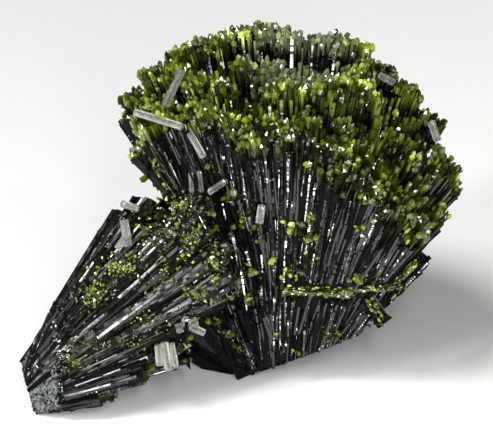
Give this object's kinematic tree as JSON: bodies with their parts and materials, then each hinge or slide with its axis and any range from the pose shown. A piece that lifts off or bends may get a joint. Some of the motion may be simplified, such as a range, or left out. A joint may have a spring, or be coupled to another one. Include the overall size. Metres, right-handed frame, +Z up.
{
  "type": "epidote crystal cluster",
  "caption": "Fan-shaped cluster of dark green epidote needles with knobby yellow-green tips, a second fan leaning out to the left, and small frosted quartz crystals set in both.",
  "frame": {"origin": "a point in the middle of the flat cut across the main fan's root, which the cluster stands on", "axes": "+Z up from the flat cut, +X to the right as seen from the front, -Y out towards the viewer of the front face; the side fan leans out to -X"},
  "size_m": [0.0739, 0.0609, 0.0602],
  "materials": {
    "epidote": "glossy natural crystal faces, near-black needles with yellow-green tips",
    "quartz": "frosted, milky natural crystal"
  },
  "bodies": {
    "root": {"epidote_cluster": "epidote", "quartz_rod_top_left": "quartz", "quartz_rod_outer_left": "quartz", "quartz_rod_inner_left": "quartz", "quartz_upright_left": "quartz", "quartz_upright_right": "quartz", "quartz_grey_stub": "quartz", "quartz_front": "quartz", "quartz_trio": "quartz", "quartz_tuft": "quartz", "quartz_top_right": "quartz", "quartz_far_right": "quartz", "quartz_side_upper": "quartz", "quartz_side_edge": "quartz"}
  },
  "joints": []
}
